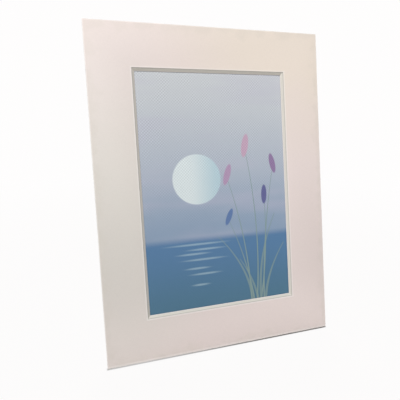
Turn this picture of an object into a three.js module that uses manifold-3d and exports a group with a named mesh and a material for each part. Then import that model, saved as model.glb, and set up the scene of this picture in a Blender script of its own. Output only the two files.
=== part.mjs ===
// A cardboard photo frame for a 10 x 15 cm print, standing on a folded card easel.
//
// A mat board with a bevel-cut window and a plain backboard are glued to three card strips.
// The strips leave a pocket, open at the top, that the print slides into. The easel is one
// die-cut card: a glue panel, a wing folded out from it that stands on its heel, and a lock
// flap that folds down over the wing and grips it in a slit.
//
// Millimetres, +Z up. The frame faces -Y and leans back; the origin is the middle of its
// bounding box, on the surface that it stands on. Pieces are built upright in the frame's own
// axes: x across, y from the face of the mat to the back, z up from the bottom edge.
import * as THREE from "three";
import { mergeVertices } from "three/addons/utils/BufferGeometryUtils.js";
import Module from "manifold-3d";

const wasm = await Module();
wasm.setup();

// How the frame stands
const leanAngle = THREE.MathUtils.degToRad(11.3);
const heelReach = 58; // from the backboard to the wing's heel, square to the board

// Print
const printWidth = 101.6;
const printHeight = 152.4;
const printThickness = 0.3;

// Mat board: its window laps over the print all round
const matThickness = 1.7;
const windowLap = 3.45;
const bevelAngle = THREE.MathUtils.degToRad(45);
const sideBorder = 25.2; // on the face, from the window to the outer edge
const topBorder = 25.5;
const bottomBorder = 25.5;

// Backboard and the strips that hold it off the mat
const backThickness = 1.5;
const spacerThickness = 0.5;
const glueLine = 0.2; // between each two boards
const sideClearance = 0.5; // between the print and each side strip
const seatClearance = 0.3; // under the print, and between the ends of the strips
const notchWidth = 20; // thumb notch in the backboard's top edge
const notchReach = 6; // how far the notch runs below the top of the print

// Easel card
const easelThickness = 1.2;
const foldRadius = 0.4; // inside each fold
const panelWidth = 40; // from the free edge to the wing's middle
const panelBottom = 20;
const panelTopDrop = 68; // from the frame's top edge to the glue panel's top
const panelCorner = 6;
const wingTopDepth = 11;
const wingCorner = 4;
const heelLength = 15; // flat on the surface
const heelRise = 9; // the wing's short upright rear edge
const lockReach = 13; // from the flap's fold to the base of its slit
const catchReach = 2; // how far the wing's catch runs under the flap, past the slit's base
const catchHeight = 6; // of the catch's upright front edge
const lockClearance = 0.3; // between flap and wing
const flapLength = 36;
const flapInset = 5; // from the glue panel's free edge to the flap
const flapTaper = 7; // how much narrower the flap's outer edge is
const flapNeckGap = 3; // between the flap's fold and the wing
const hookWidth = 8; // of the flap's hook on the wing's far side
const hookCorner = 2.5;

// What follows from them
const bevelRun = matThickness / Math.tan(bevelAngle);
const openingWidth = printWidth - 2 * windowLap; // at the back of the mat
const openingHeight = printHeight - 2 * windowLap;
const frameWidth = openingWidth + 2 * (bevelRun + sideBorder);
const frameHeight = openingHeight + 2 * bevelRun + topBorder + bottomBorder;
const openingBottom = bottomBorder + bevelRun;
const printBottom = openingBottom - windowLap;
const printTop = printBottom + printHeight;
const spacerFront = matThickness + glueLine;
const pocketDepth = glueLine + spacerThickness + glueLine;
const printFront = matThickness + (pocketDepth - printThickness) / 2;
const backFront = matThickness + pocketDepth;
const backRear = backFront + backThickness;
const easelFront = backRear + glueLine;
const foldStart = easelThickness + foldRadius; // from a fold's outer face to its straight card
const foldRear = easelFront + foldStart;
const panelTop = frameHeight - panelTopDrop;
const wingSide = easelThickness / 2;

// Card and print colours
const colours = {
  mat: 0xe9dfd6,
  print: 0x8fa6bd,
  strip: 0xe4e0d8,
  back: 0xa79c8c,
  easel: 0xb7a78f,
};

// Height of the supporting surface at depth y, in the frame's leaning axes.
function surfaceAt(y) {
  return (y - backRear) * Math.tan(leanAngle);
}

// A geometry as a solid that can be joined and cut.
function solidOf(geometry) {
  const bare = geometry.clone();
  bare.deleteAttribute("normal");
  bare.deleteAttribute("uv");
  const merged = mergeVertices(bare, 1e-4);
  return new wasm.Manifold(
    new wasm.Mesh({
      numProp: 3,
      vertProperties: merged.getAttribute("position").array,
      triVerts: merged.index.array,
    }),
  );
}

// A solid back as a geometry with flat faces.
function geometryOf(solid) {
  const mesh = solid.getMesh();
  const shared = new THREE.BufferGeometry();
  shared.setAttribute("position", new THREE.BufferAttribute(mesh.vertProperties, mesh.numProp));
  shared.setIndex(new THREE.BufferAttribute(mesh.triVerts, 1));
  const flat = shared.toNonIndexed();
  flat.computeVertexNormals();
  return flat;
}

// A block between two corners.
function block(low, high) {
  const size = high.map((value, axis) => value - low[axis]);
  const geometry = new THREE.BoxGeometry(...size);
  return geometry.translate(...low.map((value, axis) => value + size[axis] / 2));
}

// An outline of [u, v, corner radius] points, each corner rounded where it has a radius.
function roundedOutline(points) {
  const shape = new THREE.Shape();
  points.forEach(([u, v, radius = 0], index) => {
    const corner = new THREE.Vector2(u, v);
    const before = new THREE.Vector2(...points.at(index - 1).slice(0, 2));
    const after = new THREE.Vector2(...points[(index + 1) % points.length].slice(0, 2));
    const arrive = before.sub(corner).setLength(radius).add(corner);
    const leave = after.sub(corner).setLength(radius).add(corner);
    if (index === 0) {
      shape.moveTo(arrive.x, arrive.y);
    } else {
      shape.lineTo(arrive.x, arrive.y);
    }
    if (radius > 0) {
      shape.quadraticCurveTo(corner.x, corner.y, leave.x, leave.y);
    }
  });
  shape.closePath();
  return shape;
}

// Extrudes a shape drawn from above (x, y) from one height to another.
function extrudeUp(shape, from, to) {
  const geometry = new THREE.ExtrudeGeometry(shape, {
    depth: to - from,
    bevelEnabled: false,
    curveSegments: 8,
  });
  return geometry.translate(0, 0, from);
}

// Extrudes a shape drawn from the side (y, z) from one x to another.
function extrudeAcross(shape, from, to) {
  const axes = new THREE.Matrix4().makeBasis(
    new THREE.Vector3(0, 1, 0),
    new THREE.Vector3(0, 0, 1),
    new THREE.Vector3(1, 0, 0),
  );
  return extrudeUp(shape, from, to).applyMatrix4(axes);
}

// Extrudes a shape drawn from the front (x, z) from one y to another.
function extrudeBack(shape, from, to) {
  const axes = new THREE.Matrix4().makeBasis(
    new THREE.Vector3(1, 0, 0),
    new THREE.Vector3(0, 0, 1),
    new THREE.Vector3(0, -1, 0),
  );
  return extrudeUp(shape, -to, -from).applyMatrix4(axes);
}

// Mat board: the window is cut by a block whose front is wider than its back by the bevel.
function matGeometry() {
  const half = frameWidth / 2;
  const board = block([-half, 0, 0], [half, matThickness, frameHeight]);
  const overcut = 1; // past both faces, at the same slope
  const slope = bevelRun / matThickness;
  const cutter = block(
    [-openingWidth / 2, -overcut, openingBottom],
    [openingWidth / 2, matThickness + overcut, openingBottom + openingHeight],
  );
  const middle = openingBottom + openingHeight / 2;
  const position = cutter.getAttribute("position");
  for (let index = 0; index < position.count; index += 1) {
    const grow = slope * (matThickness - position.getY(index));
    position.setX(index, position.getX(index) + Math.sign(position.getX(index)) * grow);
    position.setZ(index, position.getZ(index) + Math.sign(position.getZ(index) - middle) * grow);
  }
  return geometryOf(solidOf(board).subtract(solidOf(cutter)));
}

function printGeometry() {
  return block(
    [-printWidth / 2, printFront, printBottom],
    [printWidth / 2, printFront + printThickness, printTop],
  );
}

// The strips leave the pocket's width between them, and the bottom one carries the print.
const pocketHalf = printWidth / 2 + sideClearance;
const seatHeight = printBottom - seatClearance;

function sideStripGeometry(side) {
  const edges = [side * pocketHalf, (side * frameWidth) / 2];
  return block(
    [Math.min(...edges), spacerFront, seatHeight + seatClearance],
    [Math.max(...edges), spacerFront + spacerThickness, frameHeight],
  );
}

function bottomStripGeometry() {
  return block(
    [-frameWidth / 2, spacerFront, 0],
    [frameWidth / 2, spacerFront + spacerThickness, seatHeight],
  );
}

// Backboard: an outline with a round-bottomed thumb notch that shows the top of the print.
function backGeometry() {
  const half = frameWidth / 2;
  const notchRadius = notchWidth / 2;
  const notchCentre = printTop - notchReach + notchRadius;
  const outline = new THREE.Shape();
  outline.moveTo(-half, 0);
  outline.lineTo(half, 0);
  outline.lineTo(half, frameHeight);
  outline.lineTo(notchRadius, frameHeight);
  outline.lineTo(notchRadius, notchCentre);
  outline.absarc(0, notchCentre, notchRadius, 0, Math.PI, true);
  outline.lineTo(-notchRadius, frameHeight);
  outline.lineTo(-half, frameHeight);
  outline.closePath();
  return extrudeBack(outline, backFront, backRear);
}

// Section of a fold: a straight card along u, a quarter bend, and a straight card along v.
// The outer faces meet at u = corner, v = 0.
function foldedSection(start, corner, end) {
  const centreU = corner - foldStart;
  const section = new THREE.Shape();
  section.moveTo(start, 0);
  section.lineTo(centreU, 0);
  section.absarc(centreU, foldStart, foldStart, -Math.PI / 2, 0, false);
  section.lineTo(corner, end);
  section.lineTo(corner - easelThickness, end);
  section.lineTo(corner - easelThickness, foldStart);
  section.absarc(centreU, foldStart, foldRadius, 0, -Math.PI / 2, true);
  section.lineTo(start, easelThickness);
  section.closePath();
  return section;
}

// Glue panel and wing: the folded section, cut to the outline that the side view shows and,
// at the panel's free top corner, to the outline that the back view shows.
function panelAndWing() {
  const heelRear = backRear + heelReach;
  const heelFront = heelRear - heelLength;
  const section = extrudeUp(foldedSection(-panelWidth, wingSide, heelReach), 0, panelTop);
  const folded = solidOf(section.translate(0, easelFront, 0));

  const hingeBottom = panelBottom + foldStart;
  const cutRear = foldRear + lockReach + lockClearance;
  const catchFront = cutRear - catchReach;
  const catchTop = panelBottom - lockClearance;
  const side = roundedOutline([
    [easelFront - lockClearance, hingeBottom],
    [easelFront - lockClearance, panelTop],
    [foldRear + wingTopDepth, panelTop, wingCorner],
    [heelRear, surfaceAt(heelRear) + heelRise, wingCorner],
    [heelRear, surfaceAt(heelRear)],
    [heelFront, surfaceAt(heelFront)],
    [catchFront, catchTop - catchHeight, hookCorner],
    [catchFront, catchTop],
    [cutRear, catchTop],
    [cutRear, hingeBottom],
  ]);
  const outline = solidOf(extrudeAcross(side, -panelWidth - 1, wingSide + 1));

  // The flap swings down through a round cut in the wing's lower front corner.
  const swing = new THREE.Shape();
  swing.moveTo(foldRear - foldRadius, hingeBottom - 1);
  swing.lineTo(cutRear, hingeBottom - 1);
  swing.lineTo(cutRear, hingeBottom);
  swing.absarc(foldRear, hingeBottom, cutRear - foldRear, 0, Math.PI / 2, false);
  swing.lineTo(foldRear - foldStart - 1, hingeBottom + cutRear - foldRear);
  swing.lineTo(foldRear - foldStart - 1, hingeBottom - 1);
  swing.closePath();
  const swingRoom = solidOf(
    extrudeAcross(swing, -wingSide - foldRadius - lockClearance, wingSide + 1),
  );

  const back = roundedOutline([
    [-panelWidth, 0],
    [wingSide + 1, 0],
    [wingSide + 1, panelTop + 1],
    [-panelWidth, panelTop, panelCorner],
  ]);
  const panelOutline = solidOf(extrudeBack(back, easelFront - 1, backRear + heelReach + 1));
  return folded.intersect(outline).subtract(swingRoom).intersect(panelOutline);
}

// Lock flap: folded back from the glue panel's bottom edge, with a slit that takes the wing.
function lockFlap() {
  const hingeLeft = flapInset - panelWidth;
  const hingeRight = -wingSide - flapNeckGap;
  const neckRear = foldRear + flapNeckGap;
  const slitHalf = wingSide + lockClearance;
  const slitBase = foldRear + lockReach;
  const flapRear = foldRear + flapLength;
  const hookSide = slitHalf + hookWidth;
  const outline = roundedOutline([
    [hingeLeft, foldRear],
    [hingeRight, foldRear],
    [hingeRight, neckRear],
    [hookSide, neckRear, hookCorner],
    [hookSide, flapRear - flapTaper, hookCorner],
    [slitHalf, flapRear - flapTaper, hookCorner / 2],
    [slitHalf, slitBase],
    [-slitHalf, slitBase],
    [-slitHalf, flapRear, hookCorner / 2],
    [hingeLeft + flapTaper, flapRear, hookCorner],
  ]);
  const flap = solidOf(extrudeUp(outline, panelBottom, panelBottom + easelThickness));

  // The fold's section runs up the panel and back along the flap.
  const section = foldedSection(-easelThickness, foldStart, foldStart + easelThickness);
  const quarterTurn = new THREE.Matrix4().makeBasis(
    new THREE.Vector3(0, 0, -1),
    new THREE.Vector3(0, 1, 0),
    new THREE.Vector3(1, 0, 0),
  );
  const fold = extrudeUp(section, hingeLeft, hingeRight).applyMatrix4(quarterTurn);
  fold.translate(0, easelFront, panelBottom + foldStart);
  return flap.add(solidOf(fold));
}

function easelGeometry() {
  return geometryOf(panelAndWing().add(lockFlap()));
}

// A named piece with its own material.
function piece(name, geometry, color, roughness) {
  const material = new THREE.MeshStandardMaterial({ color, roughness, metalness: 0 });
  const mesh = new THREE.Mesh(geometry, material);
  mesh.name = name;
  return mesh;
}

const leaning = new THREE.Group();
leaning.rotation.x = -leanAngle;
leaning.add(
  piece("front_mat", matGeometry(), colours.mat, 0.8),
  piece("picture_print", printGeometry(), colours.print, 0.6),
  piece("spacer_left", sideStripGeometry(-1), colours.strip, 0.9),
  piece("spacer_right", sideStripGeometry(1), colours.strip, 0.9),
  piece("spacer_bottom", bottomStripGeometry(), colours.strip, 0.9),
  piece("backboard", backGeometry(), colours.back, 0.9),
  piece("easel", easelGeometry(), colours.easel, 0.9),
);

// The frame stands on the surface, with the middle of its bounding box over the origin.
const box = new THREE.Box3().setFromObject(leaning, true);
const middle = box.getCenter(new THREE.Vector3());
leaning.position.set(-middle.x, -middle.y, -box.min.z);

const photoFrame = new THREE.Group();
photoFrame.name = "photo_frame";
photoFrame.add(leaning);

export default photoFrame;
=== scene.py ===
"""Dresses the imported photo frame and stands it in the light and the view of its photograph.

Sizes are in millimetres, in the frame's own upright axes: x across, y from the face of the mat to
the back, z up from the bottom edge. Lean turns such points into metres in the part's frame.
"""

from __future__ import annotations

import logging
import math
from collections.abc import Mapping, Sequence
from dataclasses import dataclass
from enum import Enum
from functools import cache

import bmesh
import bpy
import numpy as np
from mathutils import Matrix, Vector


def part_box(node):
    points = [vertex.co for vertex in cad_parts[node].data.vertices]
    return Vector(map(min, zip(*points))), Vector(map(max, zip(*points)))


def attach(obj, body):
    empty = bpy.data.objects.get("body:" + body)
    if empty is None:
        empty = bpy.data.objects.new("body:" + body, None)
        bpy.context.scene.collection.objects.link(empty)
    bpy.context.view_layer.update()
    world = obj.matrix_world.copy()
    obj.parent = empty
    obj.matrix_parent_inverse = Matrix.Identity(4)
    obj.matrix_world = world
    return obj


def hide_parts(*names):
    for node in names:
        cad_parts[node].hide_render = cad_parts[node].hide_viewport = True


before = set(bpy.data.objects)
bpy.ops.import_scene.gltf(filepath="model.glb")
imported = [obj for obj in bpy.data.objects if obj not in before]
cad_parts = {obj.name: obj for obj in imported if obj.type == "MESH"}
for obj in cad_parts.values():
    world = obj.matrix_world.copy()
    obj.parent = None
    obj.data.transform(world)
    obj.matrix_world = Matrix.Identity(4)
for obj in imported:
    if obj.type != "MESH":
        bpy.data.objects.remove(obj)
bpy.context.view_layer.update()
log = logging.getLogger("photo_frame")

Colour = tuple[float, float, float, float]
MM = 0.001

# The mat and the backboard have one outline, and the window lies in its middle.
HALF_WIDTH = 74.25
HEIGHT = 199.9
MAT_THICKNESS = 1.7
WINDOW_HALF_WIDTH = 47.35
WINDOW_HALF_HEIGHT = 72.75

# The print stands on the bottom strip.
PRINT_BOTTOM = 23.75
PRINT_HEIGHT = 152.4

BLACK: Colour = (0.0, 0.0, 0.0, 1.0)
WHITE: Colour = (1.0, 1.0, 1.0, 1.0)
PAPER_WHITE: Colour = (0.992, 0.984, 0.982, 1.0)


class Slot(Enum):
    """Material slots of the record."""

    MAT = "mat_board"
    PRINT = "print_paper"
    STRIP = "spacer_card"
    BACK = "back_board"
    EASEL = "easel_card"


def screen(*levels: float) -> Colour:
    """Turns a colour in screen values into a linear one.

    Args:
        levels: Red, green and blue, from 0 to 255.

    Returns:
        The linear colour, with alpha 1.
    """
    share = np.array(levels) / 255
    linear = np.where(share <= 0.04045, share / 12.92, ((share + 0.055) / 1.055) ** 2.4)
    return (*linear.tolist(), 1.0)


# Nodes


class Value:
    """A node with one of its outputs chosen. Arithmetic draws Math nodes in the same tree."""

    def __init__(self, nodes: Nodes, node: bpy.types.Node, output: str | int = 0) -> None:
        """Keeps the node, its output's name or number, and what draws in its tree."""
        self.nodes = nodes
        self.node = node
        self.output = output

    def __getitem__(self, output: str | int) -> Value:
        """Chooses another output of the node."""
        return Value(self.nodes, self.node, output)

    def math(self, operation: str, *others: Feed) -> Value:
        """Works out one number by a Math node, with this value first."""
        return self.nodes.math(operation, self, *others)

    def __add__(self, other: Feed) -> Value:
        """Adds."""
        return self.math("ADD", other)

    def __sub__(self, other: Feed) -> Value:
        """Subtracts."""
        return self.math("SUBTRACT", other)

    def __rsub__(self, other: float) -> Value:
        """Subtracts this from a plain number."""
        return self.nodes.math("SUBTRACT", other, self)

    def __mul__(self, other: Feed) -> Value:
        """Multiplies."""
        return self.math("MULTIPLY", other)

    def __truediv__(self, other: Feed) -> Value:
        """Divides."""
        return self.math("DIVIDE", other)

    def __rtruediv__(self, other: float) -> Value:
        """Divides a plain number by this."""
        return self.nodes.math("DIVIDE", other, self)

    def __abs__(self) -> Value:
        """Drops the sign."""
        return self.math("ABSOLUTE")

    def largest(self, other: Feed) -> Value:
        """Gives the larger of two numbers."""
        return self.math("MAXIMUM", other)

    def span(self, low: Feed, high: Feed, start: Feed = 0.0, end: Feed = 1.0) -> Value:
        """Eases from start to end while this value crosses the range from low to high."""
        inputs = {"Value": self, "From Min": low, "From Max": high, "To Min": start, "To Max": end}
        return self.nodes.add("MapRange", inputs, interpolation_type="SMOOTHSTEP")

    def band(self, start: Feed, full: Feed, last: Feed, end: Feed) -> Value:
        """Rises from start to full, and falls from last to end."""
        return self.span(start, full) * self.span(end, last)

    def mix(self, first: Feed, second: Feed, how: str = "MIX") -> Value:
        """Mixes two colours in a blending mode; this value is the share of the second."""
        inputs = {0: self, 6: first, 7: second}
        return self.nodes.add("Mix", inputs, data_type="RGBA", blend_type=how)[2]

    def scale(self, factors: Feed) -> Value:
        """Multiplies this vector or colour, by one number or axis by axis."""
        return self.nodes.add("VectorMath", {0: self, 1: factors}, operation="MULTIPLY")

    def length(self) -> Value:
        """Gives this vector's length."""
        return self.nodes.add("VectorMath", {0: self}, operation="LENGTH")["Value"]

    def parts(self) -> list[Value]:
        """Splits this vector into its x, y and z."""
        split = self.nodes.add("SeparateXYZ", {0: self})
        return [split[axis] for axis in range(3)]

    def noise(self, scale: Feed = 1.0, detail: float = 2.0) -> Value:
        """Reads smooth noise from 0 to 1 here, with scale features to a unit of length."""
        return self.nodes.add("TexNoise", {"Vector": self, "Scale": scale, "Detail": detail})


Feed = Value | float | Sequence[float]


class Nodes:
    """Draws nodes in one tree. An input takes a plain value or another node's output."""

    def __init__(self, tree: bpy.types.NodeTree) -> None:
        """Empties the tree to draw in."""
        tree.nodes.clear()
        self.tree = tree

    def feed(self, node: bpy.types.Node, inputs: Mapping[str | int, Feed]) -> None:
        """Sets a node's inputs, or joins outputs to them.

        Args:
            node: The node.
            inputs: A plain value or an output for each input, by name or number.
        """
        for key, value in inputs.items():
            if isinstance(value, Value):
                self.tree.links.new(value.node.outputs[value.output], node.inputs[key])
            else:
                node.inputs[key].default_value = value

    def add(
        self, kind: str, inputs: Mapping[str | int, Feed] | None = None, **settings: object
    ) -> Value:
        """Adds a node.

        Args:
            kind: Its type, without the leading ShaderNode.
            inputs: Values for its inputs, by name or number.
            settings: Its other properties.

        Returns:
            The node, with its first output chosen.
        """
        made = self.tree.nodes.new("ShaderNode" + kind)
        for name, value in settings.items():
            setattr(made, name, value)
        self.feed(made, inputs or {})
        return Value(self, made)

    def math(self, operation: str, *values: Feed) -> Value:
        """Works out one number by a Math node."""
        return self.add("Math", dict(enumerate(values)), operation=operation)

    def join(self, x: Feed, y: Feed, z: Feed) -> Value:
        """Makes a vector from three numbers."""
        return self.add("CombineXYZ", {0: x, 1: y, 2: z})

    def upright(self) -> Value:
        """Reads Object coordinates as upright millimetres."""
        return self.add("Mapping", {"Vector": self.add("TexCoord")["Object"], **LEAN.undo()})

    def attribute(self, name: str, output: str = "Fac") -> Value:
        """Reads one of the piece's own attributes: Fac for a number, Vector for three."""
        return self.add("Attribute", attribute_name=name)[output]

    def use(self, group: bpy.types.NodeTree, here: Value, **inputs: Feed) -> Value:
        """Places a node group at a Vector, with its other inputs by name."""
        return self.add("Group", {"Vector": here, **inputs}, node_tree=group)

    def bump(self, height: Value, depth: float) -> Value:
        """Gives a normal from a height of 0 to 1, where 1 stands for a depth in millimetres."""
        return self.add("Bump", {"Height": height, "Distance": depth * MM, "Strength": 1.0})

    def surface(self, colour: Feed, rough: Feed, normal: Value, gloss: float) -> Value:
        """Adds a Principled shader, with gloss for its specular level."""
        inputs = {"Base Color": colour, "Roughness": rough, "Normal": normal}
        return self.add("BsdfPrincipled", {**inputs, "Specular IOR Level": gloss})

    def seen(self) -> Value:
        """Gives 1 for a ray that sees the backdrop, by camera, mirror or glass, and 0 for light."""
        path = self.add("LightPath")
        return path["Is Camera Ray"].largest(path["Is Glossy Ray"]).largest(path["Is Transmission Ray"])


class GroupNodes(Nodes):
    """Draws a shader node group whose first input is a Vector."""

    def __init__(self, name: str, **inputs: float) -> None:
        """Starts the group.

        Args:
            name: The group's name.
            inputs: First values of its other inputs, which are numbers, by name.
        """
        super().__init__(bpy.data.node_groups.new(name, "ShaderNodeTree"))
        face = self.tree.interface
        face.new_socket("Vector", in_out="INPUT", socket_type="NodeSocketVector")
        for label, value in inputs.items():
            face.new_socket(label, in_out="INPUT", socket_type="NodeSocketFloat").default_value = value
        start = self.tree.nodes.new("NodeGroupInput")
        self.given = [Value(self, start, number) for number in range(len(inputs) + 1)]

    def give(self, **outputs: Value) -> bpy.types.NodeTree:
        """Ends the group.

        Args:
            outputs: Its outputs, which are numbers, by name.

        Returns:
            The group.
        """
        for label in outputs:
            self.tree.interface.new_socket(label, in_out="OUTPUT", socket_type="NodeSocketFloat")
        self.feed(self.tree.nodes.new("NodeGroupOutput"), outputs)
        return self.tree


@cache
def fibre_grain() -> bpy.types.NodeTree:
    """Draws the fibres of paper and card: noise drawn out along x and along z, over finer noise.

    Returns:
        The group: Tone and Height from 0 to 1, from fibres of a Length and a Width.
    """
    group = GroupNodes("fibre_grain", Length=1.5, Width=0.15)
    here, length, width = group.given
    along, across = 1.0 / length, 1.0 / width
    level = here.scale(group.join(along, across, across)).noise(detail=3)
    upward = here.scale(group.join(across, across, along)).noise(detail=3)
    both = (level + upward) * 0.5
    fine = here.noise(across)
    return group.give(Tone=both.span(0.3, 0.7), Height=fine * 0.4 + both)


@cache
def flecks() -> bpy.types.NodeTree:
    """Draws the flecks of pulp board: the middles of some cells of a Voronoi pattern.

    Returns:
        The group: Mask, 1 on a fleck, where the cells have a Size and a Share of them show.
    """
    group = GroupNodes("flecks", Size=1.0, Share=0.1)
    here, size, share = group.given
    cells = group.add("TexVoronoi", {"Vector": here, "Scale": 1.0 / size})
    shown = cells["Color"].parts()[0].math("LESS_THAN", share)
    return group.give(Mask=shown * cells["Distance"].span(0.42, 0.2))


@cache
def rub() -> bpy.types.NodeTree:
    """Draws handling marks: noise that shows more where the piece is nearer to an edge.

    Returns:
        The group: Mask from 0 to 1, from patches of a Size and how Near an edge is, from 0 to 1.
    """
    group = GroupNodes("rub", Size=6.0, Near=0.0)
    here, size, near = group.given
    reach = near * 0.35 + here.noise(1.0 / size, detail=4)
    return group.give(Mask=reach.span(0.62, 0.92))


@cache
def linen() -> bpy.types.NodeTree:
    """Draws embossed paper: one cosine wave across times one up, both of which wander.

    Returns:
        The group: Height from 0 to 1, of dots with a Pitch that stray by Wander.
    """
    group = GroupNodes("linen", Pitch=1.4, Wander=0.3)
    here, pitch, wander = group.given
    turn = 2 * math.pi / pitch
    x, _, z = here.parts()
    stray = here.noise(0.35) * wander
    across = ((x + stray) * turn).math("COSINE")
    upward = ((z - stray) * turn).math("COSINE")
    return group.give(Height=across * upward * 0.5 + 0.5)


@cache
def oval() -> bpy.types.NodeTree:
    """Draws a filled oval: where the distance from its middle, in half axes, is under 1.

    Returns:
        The group: Mask, 1 inside. Across and Up place it, Turn is in radians, Blur in half axes.
    """
    group = GroupNodes("oval", Across=0.0, Up=0.0, Wide=1.0, Tall=1.0, Turn=0.0, Blur=0.1)
    here, across, up, wide, tall, turn, blur = group.given
    x, _, z = here.parts()
    x, z = x - across, z - up
    cosine, sine = turn.math("COSINE"), turn.math("SINE")
    level = (x * cosine + z * sine) / wide
    upward = (z * cosine - x * sine) / tall
    reach = (level * level + upward * upward).math("SQRT")
    return group.give(Mask=reach.span(blur + 1.0, 1.0 - blur))


@cache
def blade() -> bpy.types.NodeTree:
    """Draws a stem or a leaf: a strip about a bent line, which tapers to its tip.

    At a share t of its height the line lies at Across + Tip t + 4 Bow t (1 - t), and the strip
    is Wide (1 - 0.75 t) wide.

    Returns:
        The group: Mask, 1 on the blade.
    """
    group = GroupNodes("blade", Across=0.0, Up=0.0, Tall=1.0, Tip=0.0, Bow=0.0, Wide=1.0)
    here, across, up, tall, tip, bow, wide = group.given
    x, _, z = here.parts()
    t = (z - up) / tall
    line = bow * (t * (1.0 - t) * 4.0) + (tip * t + across)
    half, blur = (t * -0.375 + 0.5) * wide, 0.12
    strip = abs(x - line).span(half + blur, half - blur)
    within = t.math("GREATER_THAN", 0.0) * t.math("LESS_THAN", 1.0)
    return group.give(Mask=strip * within)


# Finishes


class Finish:
    """A material."""

    name: str

    def material(self) -> bpy.types.Material:
        """Draws the finish.

        Returns:
            The material.
        """
        made = bpy.data.materials.new(self.name)
        made.use_nodes = True
        nodes = Nodes(made.node_tree)
        nodes.add("OutputMaterial", {"Surface": self.draw(nodes)})
        return made

    def draw(self, nodes: Nodes) -> Value:
        """Draws the nodes and gives the shader; each finish has its own way."""
        raise NotImplementedError


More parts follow.
